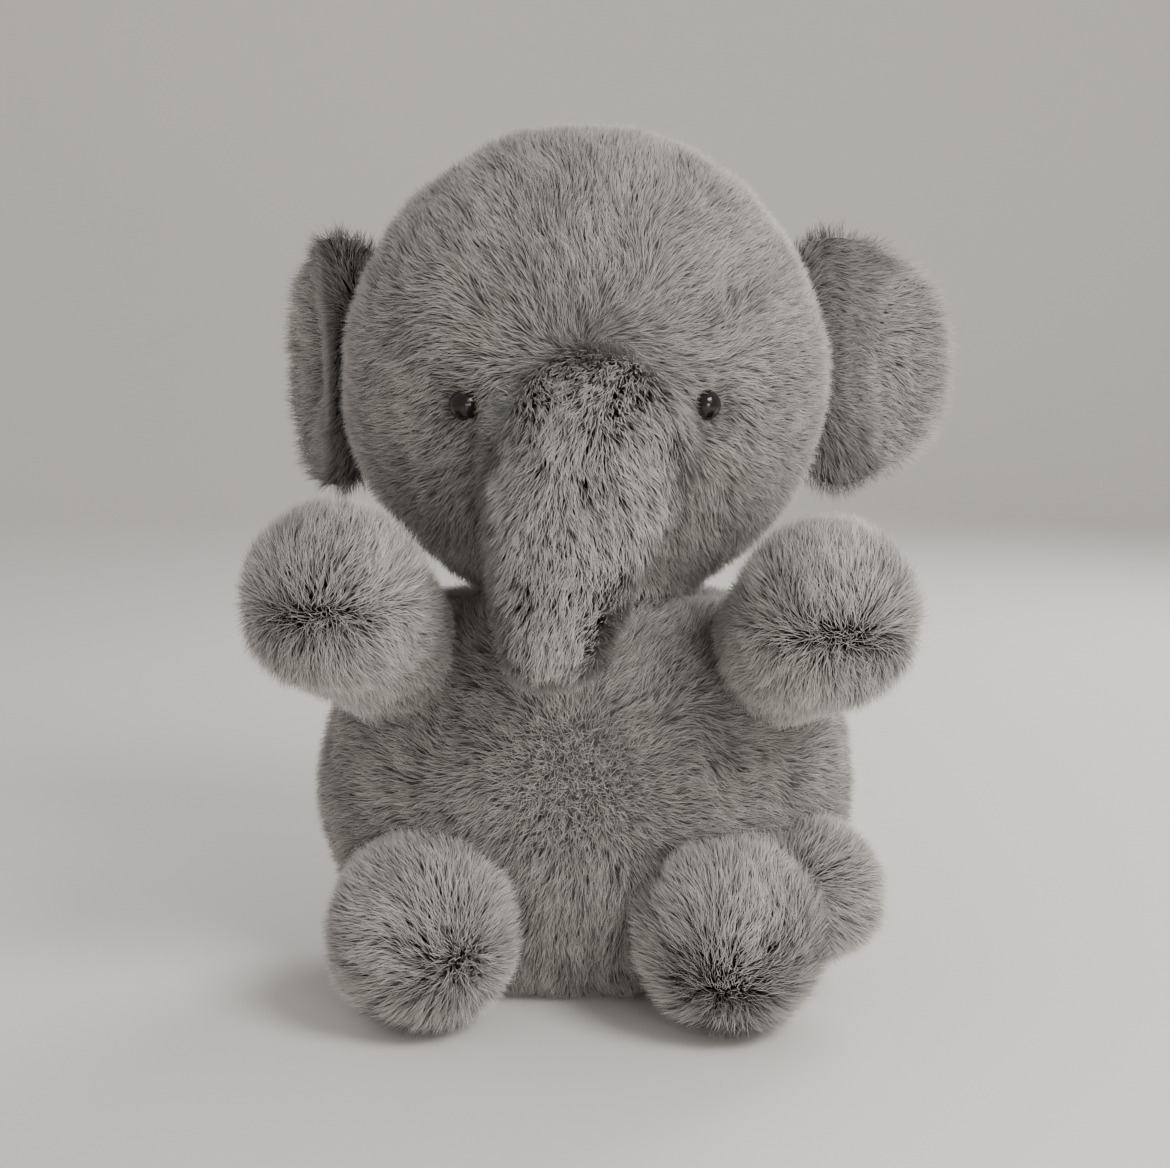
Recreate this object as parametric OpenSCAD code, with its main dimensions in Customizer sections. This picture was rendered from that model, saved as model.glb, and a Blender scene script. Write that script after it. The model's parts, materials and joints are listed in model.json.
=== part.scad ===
// Sitting plush elephant, built up as the sewn toy is: pile panels over wadding,
// with the head, trunk, ears, arms, legs and tail sewn on so that they flop.
// X is across the toy, -Y is the way it faces, Z is up, and it sits on Z = 0.

/* [Body] */
// Width of the body at its widest
body_w = 208; // [160:1:260]
// Depth of the body, belly to back
body_d = 136; // [110:1:170]
// Height of the widest line of the body above the shelf
body_mid_h = 75; // [62:1:90]
// Rise from the widest line to the top of the full egg shape
body_rise = 92; // [76:1:110]
// Height of the neck opening above the shelf
neck_h = 146; // [141:1:149]

/* [Head] */
// Width of the head
head_w = 182; // [150:1:220]
// Depth of the head, forehead to nape
head_d = 156; // [130:1:188]
// Height of the head above its widest line
head_rise = 96; // [80:1:116]
// Depth of the cheeks below the widest line
head_drop = 85; // [71:1:86]
// Height of the head's widest line above the shelf
head_mid_h = 228; // [224:1:234]
// Radius of the wadding ball in the neck
neck_r = 38; // [30:1:40]

/* [Trunk] */
// Radius of the trunk's round root
trunk_root_r = 35; // [29:0.5:37]
// Radius of the trunk at its tip
trunk_tip_r = 20; // [16:0.5:24]
// Drop from the middle of the root to the middle of the tip
trunk_drop = 64; // [53:1:72]
// Sideways lean of the tip
trunk_lean = -12; // [-16:1:8]

/* [Ears] */
// Height of an ear
ear_h = 104; // [86:1:124]
// Width of an ear, from its root to its rim
ear_w = 62; // [50:1:75]
// Thickness of an ear, pile and all
ear_t = 13; // [11:0.5:16]
// Sweep of the left ear back from straight sideways
left_ear_sweep = 70; // [30:1:78]
// Sweep of the right ear back from straight sideways
right_ear_sweep = 40; // [20:1:78]

/* [Arms and legs] */
// Radius of a paw
paw_r = 33; // [27:0.5:37]
// Radius of an arm where it leaves the shoulder
shoulder_r = 23; // [19:0.5:26]
// Radius of a foot
foot_r = 35; // [29:0.5:39]
// Radius of a leg at the hip
hip_r = 31; // [25:0.5:34]

/* [Tail] */
// Radius of the tail at its root
tail_root_r = 9; // [7:0.5:11]
// Radius of the tail at its end
tail_tip_r = 6; // [5:0.5:7]

/* [Cloth and fittings] */
// Thickness of the plush, backing cloth and pile lying down
plush_t = 6; // [5:0.5:7]
// Radius of an eye
eye_r = 5.5; // [4.5:0.25:6.5]
// Radius of the lock washer behind an eye
washer_r = 6; // [5:0.25:6.5]
// Thickness of the cotton thread in the closing seam
thread_d = 1; // [0.6:0.1:1.4]

/* [Hidden] */

pile_grey = "#8c8884";
light_grey = "#a3a09c";
wadding_white = "#f1eee6";

// Clearance between bodies, and between the plush and what fills it
gap = 0.4;
fill_gap = 0.6;
// Half of the opening along a seam, as an angle round the panel
seam_a = 0.15;
// Steps round and up the panels of the body and head, and round the limbs
step = 10;
fill_step = 14;
limb_step = 20;

body_c = [0, 2, body_mid_h];
body_a = [body_w / 2, body_d / 2, body_rise];
seat_lat = -asin(body_mid_h / body_rise);
neck_lat = asin((neck_h - body_mid_h) / body_rise);
neck_c = [0, 0, neck_h + 2];

head_c = [0, 0, head_mid_h];
head_a = [head_w / 2, head_d / 2, head_rise];
collar_lat = -57;
cheek_lat = -34;
crown_lat = 89;
side_seam = 84;

trunk_c = [2, -head_d / 2 + 12, head_mid_h - 19];
// The eyes sit just clear of the trunk's root
eye_clear = 0.725;
eye_x = trunk_c.x + trunk_root_r + eye_r + eye_clear;
eye_z = head_mid_h - 5;

thread_r = thread_d / 2;
cord_r = 1.1;

// ---- Closed surfaces from rows of points ----

function flatten(rows) = [for (row = rows) each row];

// Triangles of a grid of rows by cols points; flip turns them to face the other way
function grid_faces(rows, cols, start, flip) = [
  for (i = [0:rows - 2], j = [0:cols - 2])
    let (a = start + i * cols + j, b = a + 1, c = a + cols, d = c + 1)
      each (flip ? [[a, b, d], [a, d, c]] : [[a, d, b], [a, c, d]])];

// Triangles that join one edge of the outer grid to the same edge of the inner one
function rim_faces(edge, shift, flip) = [
  for (i = [0:len(edge) - 2])
    let (a = edge[i], b = edge[i + 1], c = a + shift, d = b + shift)
      each (flip ? [[a, d, b], [a, c, d]] : [[a, b, d], [a, d, c]])];

// A panel: two matching grids, one outside and one inside, closed round all four edges
module panel(outer, inner) {
  rows = len(outer);
  cols = len(outer[0]);
  n = rows * cols;
  bottom = [for (j = [0:cols - 1]) j];
  top = [for (j = [0:cols - 1]) (rows - 1) * cols + j];
  left = [for (i = [0:rows - 1]) i * cols];
  right = [for (i = [0:rows - 1]) i * cols + cols - 1];
  polyhedron(concat(flatten(outer), flatten(inner)),
    concat(grid_faces(rows, cols, 0, true), grid_faces(rows, cols, n, false),
      rim_faces(bottom, n, true), rim_faces(top, n, false),
      rim_faces(left, n, false), rim_faces(right, n, true)));
}

function mean(points) = [for (i = [0:2]) [for (p = points) p[i]] * [for (p = points) 1 / len(points)]];

// A filled shape: rings of points, closed at both ends
module filled(rings) {
  rows = len(rings);
  cols = len(rings[0]);
  n = rows * cols;
  sides = [for (i = [0:rows - 2], j = [0:cols - 1])
    let (k = (j + 1) % cols, a = i * cols + j, b = i * cols + k, c = a + cols, d = b + cols)
      each [[a, b, d], [a, d, c]]];
  low = [for (j = [0:cols - 1]) [n, (j + 1) % cols, j]];
  high = [for (j = [0:cols - 1]) [n + 1, (rows - 1) * cols + j, (rows - 1) * cols + (j + 1) % cols]];
  polyhedron(concat(flatten(rings), [mean(rings[0]), mean(rings[rows - 1])]),
    concat(sides, low, high));
}

// Even steps from one value to another, no wider than the given step
function steps(from, to, width) =
  let (n = ceil(abs(to - from) / width)) [for (i = [0:n]) from + (to - from) * i / n];

// Angles all the way round an egg, in the order that faces its sides outwards
round_lons = [360 - fill_step:-fill_step:0];

// Rows of a surface f(across, along, inset)
function rows_of(f, us, vs, k) = [for (v = vs) [for (u = us) f(u, v, k)]];

// Soft pieces cut by others are worked out as one mesh
module cut_soft() {
  resize([0, 0, 0])
    difference() {
      children(0);
      children([1:1:$children - 1]);
    }
}

// A ball whose flats lie no nearer its middle than its radius, for cutting a socket
module ball(r, sides) { sphere(r / pow(cos(180 / sides), 2), $fn = sides); }

// ---- Surfaces ----

// Egg with its own rise and drop: lon runs from the front towards +X, lat is up
function egg(c, a, drop, lon, lat, k) = [
  c.x + (a.x - k) * cos(lat) * sin(lon),
  c.y - (a.y - k) * cos(lat) * cos(lon),
  c.z + ((lat < 0 ? drop : a.z) - k) * sin(lat)];

body_at = function (lon, lat, k) egg(body_c, body_a, body_rise, lon, lat, k);
head_at = function (lon, lat, k) egg(head_c, head_a, head_drop, lon, lat, k);

// Unit vectors square to a direction: sideways, then upwards
function unit(v) = v / norm(v);
function side_of(d) = unit(cross(d, [0, 0, 1]));
function rise_of(d) = cross(side_of(d), d);

// Tapered limb with round ends: about runs round it, along runs from -90 to 270
function limb(root, end, r0, r1, about, along, k) =
  let (d = unit(end - root), c = along <= 0 ? root : end, r = (along <= 0 ? r0 : r1) - k,
    t = along <= 0 ? along : along - 1)
  c + r * (sin(t) * d + cos(t) * (cos(about) * side_of(d) + sin(about) * rise_of(d)));

limb_alongs = concat(steps(-86, 0, 29), steps(1, 87, 18));
function limb_rings(root, end, r0, r1, k) = rows_of(
  function (u, v, i) limb(root, end, r0, r1, u, v, i), [0:limb_step:359], limb_alongs, k);

module limb_filled(root, end, r0, r1, k) {
  filled(limb_rings(root, end, r0, r1, k));
}

// Half of a limb's cover, between two of its seams
module limb_panel(root, end, r0, r1, from, to, cloth_t = plush_t) {
  us = steps(from + seam_a, to - seam_a, limb_step);
  f = function (u, v, k) limb(root, end, r0, r1, u, v, k);
  panel(rows_of(f, us, limb_alongs, 0), rows_of(f, us, limb_alongs, cloth_t));
}

// Turn the children about a line through a point
module swing(pivot, axis, angle) {
  translate(pivot)
    rotate(angle, axis)
      translate(-pivot)
        children();
}

// ---- Places of the limbs; s is -1 for the toy's piece at -X and 1 for the one at +X ----

shoulder_lon = 66;
shoulder_lat = 37;
shoulder_depth = shoulder_r * 0.6;
left_reach = [-20, -60, 36];
right_reach = [17, -60, 30];
function shoulder(s) = body_at(s * shoulder_lon, shoulder_lat, shoulder_depth);
function paw(s) = shoulder(s) + (s < 0 ? left_reach : right_reach);
arm_down = 16;
arm_up = 8;

leg_lift = 12;
left_foot = [-58, -62, foot_r];
right_foot = [52, -66, foot_r];
leg_l = 26;
function foot(s) = s < 0 ? left_foot : right_foot;
function hip(s) = foot(s) + [s * 2, leg_l, 2];
thigh_r = 27;
thigh_root_r = thigh_r - 3;
thigh_c = [83, -44, 45];
thigh_root = thigh_c + [-6, 14, 0];

tail_lift = 20;
tail_lat = -8;
tail_fall = [0, 17, -26];
tail_root = body_at(180, tail_lat, tail_root_r * 0.5);
tail_end = tail_root + tail_fall;

ear_root_r = ear_t / 2;
ear_y = 15;
ear_x = head_a.x * sqrt(1 - pow(ear_y / head_a.y, 2)) + ear_root_r + gap;
ear_z = head_mid_h + 8;

// ---- Whole moving shapes, grown by a clearance, as they cut what carries them ----

module arm_shape(s, k) {
  limb_filled(shoulder(s), paw(s), shoulder_r, paw_r, k);
}

module leg_shape(s, k) {
  limb_filled(hip(s), foot(s), hip_r, foot_r, k);
  if (s > 0) thigh_shape(k);
}

module thigh_shape(k) {
  limb_filled(thigh_root, thigh_c, thigh_root_r, thigh_r, k);
}

module tail_shape(k) {
  limb_filled(tail_root, tail_end, tail_root_r, tail_tip_r, k);
}

// The room a limb needs as it swings through its range about its root
module swept(pivot, low, high) {
  hull()
    for (a = [low, 0, high]) swing(pivot, [1, 0, 0], a) children();
}

module swept_arm(s) {
  swept(shoulder(s), -arm_up, arm_down) arm_shape(s, -gap);
}

module swept_leg(s) {
  swept(hip(s), -leg_lift, 0) limb_filled(hip(s), foot(s), hip_r, foot_r, -gap);
  if (s > 0) swept(hip(s), -leg_lift, 0) thigh_shape(-gap);
}

module swept_tail() {
  swept(tail_root, 0, tail_lift) tail_shape(-gap);
}

// Everything that passes through the body's cover
module body_openings() {
  for (s = [-1, 1]) {
    swept_arm(s);
    swept_leg(s);
  }
  swept_tail();
}

// ---- Body ----

module body_panel(from, to) {
  us = steps(to - seam_a, from + seam_a, step);
  vs = steps(seat_lat + 0.1, neck_lat, step);
  cut_soft() {
    panel(rows_of(body_at, us, vs, 0), rows_of(body_at, us, vs, plush_t));
    body_openings();
  }
}

side_lon = 72;
module body_front_left_panel() { color(pile_grey) body_panel(-side_lon, 0); }
module body_front_right_panel() { color(pile_grey) body_panel(0, side_lon); }
module body_back_left_panel() { color(pile_grey) body_panel(-180, -side_lon); }
module body_back_right_panel() { color(pile_grey) body_panel(side_lon, 180); }

seat_t = 3;
seat_inset = 3.8;
module seat_panel() {
  edge = [for (lon = [0:6:354]) body_at(lon, seat_lat, seat_inset)];
  color(pile_grey)
    cut_soft() {
      linear_extrude(seat_t) polygon([for (p = edge) [p.x, p.y]]);
      for (s = [-1, 1]) swept_leg(s);
    }
}

bag_a = [42, 30, 19];
bag_t = 1;
bag_lift = 1;
bag_c = [0, 8, seat_t + bag_lift + bag_a.z];
module bag_shape(k) {
  filled(rows_of(function (u, v, i) egg(bag_c, bag_a, bag_a.z, u, v, i),
    [340:-20:0], steps(-86, 86, 20), k));
}

// The filling keeps well back from every limb, so that each can swing
limb_gap = 5;
module limb_room(root, end, r0, r1) {
  hull() {
    translate(root) ball(r0 + limb_gap, 16);
    translate(end) ball(r1 + limb_gap, 16);
  }
}

module body_wadding() {
  fill = plush_t + fill_gap;
  low_lat = -asin((body_mid_h - seat_t - fill_gap) / (body_rise - fill));
  color(wadding_white)
    cut_soft() {
      filled(rows_of(body_at, round_lons, steps(low_lat, neck_lat, fill_step), fill));
      for (s = [-1, 1]) {
        limb_room(shoulder(s), paw(s), shoulder_r, paw_r);
        limb_room(hip(s), foot(s), hip_r, foot_r);
      }
      limb_room(thigh_root, thigh_c, thigh_r, thigh_r);
      limb_room(tail_root, tail_end, tail_root_r, tail_tip_r);
      bag_shape(-fill_gap);
      translate(neck_c) ball(neck_r + gap, 24);
    }
}

// Half of the bag's cloth, from one side seam to the other
module bag_half(from, to) {
  us = steps(to - seam_a, from + seam_a, 20);
  f = function (u, v, i) egg(bag_c, bag_a, bag_a.z, u, v, i);
  vs = steps(-86, 86, 20);
  color("ivory") panel(rows_of(f, us, vs, 0), rows_of(f, us, vs, bag_t));
}
module pellet_bag_left() { bag_half(180, 360); }
module pellet_bag_right() { bag_half(0, 180); }

pellet_gap = 0.3;
module pellets() { color("lightsteelblue") bag_shape(bag_t + pellet_gap); }

// Drawstring round the neck, between the edges of the head's and the body's covers
cord_gap = 0.3;
cord_ring_r = neck_r + 2.5;
module neck_cord() {
  color("dimgray")
    translate([0, 0, neck_h + cord_r + cord_gap])
      rotate_extrude($fn = 64)
        translate([cord_ring_r, 0]) circle(cord_r, $fn = 16);
}

// Ladder stitches that close the middle of the back, each a short bar across the seam
stitch_low = 8;
stitch_high = 38;
stitch_every = 5;
stitch_l = 6;
module closing_stitches() {
  color("dimgray")
    for (lat = steps(stitch_low, stitch_high, stitch_every))
      translate(body_at(180, lat, plush_t / 2))
        rotate([0, 90, 0]) cylinder(h = stitch_l, r = thread_r, center = true, $fn = 16);
}

module neck_wadding() {
  color(wadding_white) translate(neck_c) sphere(neck_r, $fn = 48);
}

// ---- Head ----

function eye_lon(s) = s * asin(eye_x / head_a.x / cos(asin((head_mid_h - eye_z) / head_drop)));
function eye_lat() = -asin((head_mid_h - eye_z) / head_drop);
function eye_turn(s) = s * atan2(eye_x / pow(head_a.x, 2),
  -head_at(eye_lon(s), eye_lat(), 0).y / pow(head_a.y, 2));

// Carry the children to an eye, with +Z pointing out of the face
module at_eye(s) {
  translate(head_at(eye_lon(s), eye_lat(), 0))
    rotate([0, 0, eye_turn(s)])
      rotate([90, 0, 0])
        children();
}

stem_r = 1.6;
stem_l = 7;
eye_back = -4.8;
eye_gap = 0.3;
eye_cut_l = 20;
washer_t = 1.2;
washer_top = -plush_t - 1.2;
washer_gap = 0.5;
washer_cut_l = 12;

// Socket for the dome of an eye, with a narrower hole behind it for the stem
module eye_cuts() {
  for (s = [-1, 1])
    at_eye(s) {
      translate([0, 0, eye_back - 0.2]) cylinder(h = eye_cut_l, r = eye_r + eye_gap, $fn = 20);
      translate([0, 0, eye_back - 3]) cylinder(h = eye_cut_l / 2, r = stem_r + eye_gap, $fn = 14);
    }
}

module washer_cuts() {
  for (s = [-1, 1])
    at_eye(s)
      translate([0, 0, eye_back - stem_l - fill_gap])
        cylinder(h = washer_cut_l, r = washer_r + washer_gap, $fn = 16);
}

// The trunk's round root turns in place, and what hangs below it only swings outwards
module trunk_room() {
  translate(trunk_c) ball(trunk_root_r + gap, 30);
  filled(trunk_rings(-gap));
}

module head_panel(from, to, low, high) {
  us = steps(to - seam_a, from + seam_a, step);
  vs = steps(low, high, step);
  cut_soft() {
    panel(rows_of(head_at, us, vs, 0), rows_of(head_at, us, vs, plush_t));
    eye_cuts();
    trunk_room();
  }
}

module face_left_panel() { color(pile_grey) head_panel(-side_seam, 0, cheek_lat, crown_lat); }
module face_right_panel() { color(pile_grey) head_panel(0, side_seam, cheek_lat, crown_lat); }
module head_back_left_panel() { color(pile_grey) head_panel(-180, -side_seam, cheek_lat, crown_lat); }
module head_back_right_panel() { color(pile_grey) head_panel(side_seam, 180, cheek_lat, crown_lat); }
module chin_panel() {
  color(pile_grey) head_panel(-side_seam, side_seam, collar_lat, cheek_lat - 0.2);
}
module nape_panel() {
  color(pile_grey) head_panel(side_seam, 360 - side_seam, collar_lat, cheek_lat - 0.2);
}

module head_wadding() {
  color(wadding_white)
    cut_soft() {
      filled(rows_of(head_at, round_lons, steps(collar_lat, crown_lat - 2, fill_step), plush_t + fill_gap));
      translate(neck_c) ball(neck_r + gap, 24);
      washer_cuts();
      trunk_room();
    }
}

module eye(s) {
  dome = [for (a = [0:10:90]) eye_r * [cos(a), sin(a) * 0.95]];
  profile = concat([[0, -stem_l], [stem_r, -stem_l], [stem_r, 0]], dome);
  color("black")
    at_eye(s)
      translate([0, 0, eye_back])
        rotate_extrude($fn = 32) polygon([for (p = profile) [max(p.x, 0), p.y]]);
}

module eye_washer(s) {
  color("white")
    at_eye(s)
      translate([0, 0, washer_top - washer_t])
        difference() {
          cylinder(h = washer_t, r = washer_r, $fn = 32);
          translate([0, 0, -1]) cylinder(h = washer_t + 2, r = stem_r + 0.1, $fn = 32);
        }
}

module left_eye() { eye(-1); }
module right_eye() { eye(1); }
module left_eye_washer() { eye_washer(-1); }
module right_eye_washer() { eye_washer(1); }

// ---- Trunk ----

// Half depth below the root, how far forward it hangs, and how the width falls away downwards
trunk_depth_r = 19;
trunk_forward = -23;
trunk_taper = 1.35;
// Shares of the way down by which the trunk hangs fully forward and is down to its flat depth
forward_by = 0.8;
flat_by = 0.625;
// The tip is a little flatter than a ball
tip_drop = 0.9;

// Middle, half width and half depth of the trunk a share t of the way down
function trunk_mid(t) = trunk_c +
  [trunk_lean * t, trunk_forward * sin(90 * min(1, t / forward_by)), -trunk_drop * t];
function trunk_half_w(t, k) = trunk_root_r + (trunk_tip_r - trunk_root_r) * pow(t, trunk_taper) - k;
function trunk_half_d(t, k) =
  trunk_root_r + (trunk_depth_r - trunk_root_r) * sin(90 * min(1, t / flat_by)) - k;

// Along runs from -90 at the top of the round root, by 0 to 1 down the trunk, to 1 and on round the tip
function trunk_at(about, along, k) =
  let (t = max(0, min(1, along)), up = min(0, along), over = max(0, along - 1),
    w = trunk_half_w(t, k), d = trunk_half_d(t, k),
    shrink = along < 0 ? cos(up) : cos(over))
  trunk_mid(t) + [w * shrink * sin(about), -d * shrink * cos(about),
    along < 0 ? -(trunk_root_r - k) * sin(up) : -(trunk_tip_r - k) * tip_drop * sin(over)];

trunk_alongs = concat(steps(-86, -14, 18), steps(0, 1, 0.17), steps(20, 87, 17));
trunk_surface = function (u, v, k) trunk_at(u, v, k);
function trunk_rings(k) = rows_of(trunk_surface, [0:15:345], trunk_alongs, k);

module trunk_panel(from, to) {
  us = steps(from + seam_a, to - seam_a, 15);
  panel(rows_of(trunk_surface, us, trunk_alongs, 0), rows_of(trunk_surface, us, trunk_alongs, plush_t));
}

// Where the trunk's two long seams run, as angles round it from the front
left_seam = -62;
right_seam = 76;
module trunk_front_panel() { color(light_grey) trunk_panel(left_seam, right_seam); }
module trunk_back_panel() { color(light_grey) trunk_panel(right_seam, 360 + left_seam); }
module trunk_wadding() { color(wadding_white) filled(trunk_rings(plush_t + fill_gap)); }

// ---- Ears ----

// Place an ear: its root line stands on Z at the side of the head, and it reaches out along +X
module at_ear(s) {
  sweep = s < 0 ? left_ear_sweep : right_ear_sweep;
  translate([s * ear_x, ear_y, ear_z])
    mirror([s < 0 ? 1 : 0, 0, 0])
      rotate([0, 0, sweep])
        children();
}

// Share of the reach over which the root rounds off
ear_round = 0.1;
// Height of the root line as a share of the ear's, and the reach by which the full height comes
ear_root_share = 0.62;
ear_full_by = 0.45;
// Reach from which the outline curves in to the rim, and how square that curve is
rim_from = 0.25;
rim_reach = 0.752;
rim_power = 2.4;

// Half-round outline with a straight root: reach is 0 at the root line and 1 at the rim
function ear_half_h(reach) =
  ear_h / 2 * (ear_root_share + (1 - ear_root_share) * sin(min(90, 90 * reach / ear_full_by))) *
  sqrt(max(0.0001, 1 - pow(max(0, reach - rim_from) / rim_reach, rim_power)));
function ear_puff(reach, rise) = sqrt(max(0, 1 - pow(abs(rise), 3))) *
  sqrt(max(0, 1 - pow(reach, 6))) * sqrt(max(0, 1 - pow(max(0, 1 - reach / ear_round), 2)));
ear_rises = [for (a = steps(-90, 90, 22)) sin(a)];
ear_reaches = concat([0, 0.02, 0.06], [for (a = steps(7, 85, 14)) sin(a)]);

// side is 1 on the front of the ear and -1 on its back; k pulls the surface in
function ear_at(rise, reach, k, side) =
  let (half_h = ear_half_h(reach) - k, half_t = max(0.4, (ear_t / 2 - k) * ear_puff(reach, rise)))
  [-ear_root_r + k + reach * (ear_w + ear_root_r - 2 * k), -side * half_t - side * 0.15,
    half_h * rise];

ear_cloth = 4;
module ear_half(side) {
  panel([for (r = ear_reaches) [for (q = side * ear_rises) ear_at(q, r, 0, side)]],
    [for (r = ear_reaches) [for (q = side * ear_rises) ear_at(q, r, ear_cloth, side)]]);
}

module left_ear_front_panel() { color(pile_grey) at_ear(-1) ear_half(1); }
module left_ear_back_panel() { color(pile_grey) at_ear(-1) ear_half(-1); }
module right_ear_front_panel() { color(pile_grey) at_ear(1) ear_half(1); }
module right_ear_back_panel() { color(pile_grey) at_ear(1) ear_half(-1); }

module ear_wadding(s) {
  pull = ear_cloth + gap;
  color(wadding_white)
    at_ear(s)
      panel([for (r = ear_reaches) [for (q = ear_rises) ear_at(q, r, pull, 1)]],
        [for (r = ear_reaches) [for (q = ear_rises) ear_at(q, r, pull, -1)]]);
}
module left_ear_wadding() { ear_wadding(-1); }
module right_ear_wadding() { ear_wadding(1); }

// ---- Arms, legs and tail ----

module arm_panel(s, from, to) {
  color(light_grey) limb_panel(shoulder(s), paw(s), shoulder_r, paw_r, from, to);
}
module arm_wadding(s) { color(wadding_white) arm_shape(s, plush_t + fill_gap); }
module left_arm_upper_panel() { arm_panel(-1, 0, 180); }
module left_arm_lower_panel() { arm_panel(-1, 180, 360); }
module left_arm_wadding() { arm_wadding(-1); }
module right_arm_upper_panel() { arm_panel(1, 0, 180); }
module right_arm_lower_panel() { arm_panel(1, 180, 360); }
module right_arm_wadding() { arm_wadding(1); }

module leg_panel(s, from, to) {
  color(light_grey) limb_panel(hip(s), foot(s), hip_r, foot_r, from, to);
}
module left_leg_upper_panel() { leg_panel(-1, 0, 180); }
module left_leg_lower_panel() { leg_panel(-1, 180, 360); }
module left_leg_wadding() { color(wadding_white) leg_shape(-1, plush_t + fill_gap); }

module right_leg_upper_panel() { thigh_free() leg_panel(1, 0, 180); }
module right_leg_lower_panel() { thigh_free() leg_panel(1, 180, 360); }
module right_leg_wadding() {
  color(wadding_white)
    thigh_free() limb_filled(hip(1), foot(1), hip_r, foot_r, plush_t + fill_gap);
}

// The leg's cover and filling stop where the fold of the thigh starts
module thigh_free() {
  cut_soft() {
    children();
    thigh_shape(-gap);
  }
}

// Plush folded over at the outside of the right hip, with its own wadding
module thigh_panel(from, to) {
  color(light_grey) limb_panel(thigh_root, thigh_c, thigh_root_r, thigh_r, from, to);
}
module right_thigh_upper_panel() { thigh_panel(0, 180); }
module right_thigh_lower_panel() { thigh_panel(180, 360); }
module right_thigh_wadding() { color(wadding_white) thigh_shape(plush_t + fill_gap); }

tail_cloth = 3;
module tail_panel(from, to) {
  color(pile_grey) limb_panel(tail_root, tail_end, tail_root_r, tail_tip_r, from, to, tail_cloth);
}

module tail_left_panel() { tail_panel(90, 270); }
module tail_right_panel() { tail_panel(-90, 90); }
module tail_wadding() { color(wadding_white) tail_shape(tail_cloth + fill_gap); }

body_front_left_panel();
body_front_right_panel();
body_back_left_panel();
body_back_right_panel();
seat_panel();
body_wadding();
pellet_bag_left();
pellet_bag_right();
pellets();
neck_cord();
closing_stitches();
neck_wadding();
face_left_panel();
face_right_panel();
head_back_left_panel();
head_back_right_panel();
chin_panel();
nape_panel();
head_wadding();
left_eye();
right_eye();
left_eye_washer();
right_eye_washer();
trunk_front_panel();
trunk_back_panel();
trunk_wadding();
left_ear_front_panel();
left_ear_back_panel();
left_ear_wadding();
right_ear_front_panel();
right_ear_back_panel();
right_ear_wadding();
left_arm_upper_panel();
left_arm_lower_panel();
left_arm_wadding();
right_arm_upper_panel();
right_arm_lower_panel();
right_arm_wadding();
left_leg_upper_panel();
left_leg_lower_panel();
left_leg_wadding();
right_leg_upper_panel();
right_leg_lower_panel();
right_leg_wadding();
right_thigh_upper_panel();
right_thigh_lower_panel();
right_thigh_wadding();
tail_left_panel();
tail_right_panel();
tail_wadding();
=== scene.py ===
# %% [markdown]
# # A sitting plush elephant
# The toy is sewn from panels of short-pile plush over wadding. This lesson starts from the
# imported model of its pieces, and gives each panel what the eye sees on the real toy: a soft
# backing cloth and thousands of fine fibres that lie the way the cloth was brushed.
# Fibres could be a particle system, but only real mesh survives an export, so each one is a
# narrow ribbon of two faces, made for a whole panel at once with arrays.

# %% Load the frame
import bpy
import json
import math
import numpy as np
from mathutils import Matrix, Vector


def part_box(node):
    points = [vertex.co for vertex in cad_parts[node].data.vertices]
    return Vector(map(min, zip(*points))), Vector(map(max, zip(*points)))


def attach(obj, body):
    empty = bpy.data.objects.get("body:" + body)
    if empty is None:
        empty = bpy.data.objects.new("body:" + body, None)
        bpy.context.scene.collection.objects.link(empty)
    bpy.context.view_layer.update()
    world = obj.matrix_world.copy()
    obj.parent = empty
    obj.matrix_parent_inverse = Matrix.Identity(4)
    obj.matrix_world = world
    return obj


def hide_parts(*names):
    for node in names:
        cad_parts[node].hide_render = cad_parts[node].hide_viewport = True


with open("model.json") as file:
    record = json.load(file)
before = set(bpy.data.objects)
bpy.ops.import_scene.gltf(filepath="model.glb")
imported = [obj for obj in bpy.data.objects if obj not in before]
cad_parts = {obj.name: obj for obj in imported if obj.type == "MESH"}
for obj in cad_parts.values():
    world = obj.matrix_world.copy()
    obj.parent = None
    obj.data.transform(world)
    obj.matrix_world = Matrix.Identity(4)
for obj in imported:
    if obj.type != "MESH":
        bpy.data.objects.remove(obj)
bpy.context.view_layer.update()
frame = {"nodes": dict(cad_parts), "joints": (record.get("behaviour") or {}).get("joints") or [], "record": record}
joints = {joint["name"]: joint for joint in frame["joints"]}

# %% [markdown]
# The camera stands where a person stands who looks at a toy on a shelf at chest height: close,
# a little above the middle, tipped down a few degrees. A longer lens further off would flatten
# the big head, so the distance matters as much as the angle.

# %% Camera
camera_distance = 0.684
camera_height = 0.247
camera_tilt = 7.9
camera_data = bpy.data.cameras.new("camera")
camera_data.lens = 55.4
camera_data.sensor_width = 36.0
camera = bpy.data.objects.new("camera", camera_data)
bpy.context.collection.objects.link(camera)
camera.location = (0.0, -camera_distance, camera_height)
camera.rotation_euler = (math.radians(90 - camera_tilt), 0.0, 0.0)
bpy.context.scene.camera = camera
print("camera at", tuple(camera.location))

# %% [markdown]
# Everything sewn here is an egg or a limb. An egg has its own rise above and drop below its
# widest line. A limb is two balls joined by a straight tube. Both are written as formulas, so
# a panel is a stretch of a formula between two seams, and the cloth can be laid at any depth
# under the tips of the pile. Sculpting would give the same shapes, but not panels that meet.

# %% Sizes of the sewn shapes
def middle(low, high):
    return (np.array(low) + np.array(high)) / 2


def joint_at(name):
    return np.array(joints[name]["pos_m"])


def box_of(*nodes):
    """Lowest and highest corner of several nodes together."""
    boxes = [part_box(node) for node in nodes]
    return (np.min([b[0] for b in boxes], axis=0), np.max([b[1] for b in boxes], axis=0))


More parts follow.
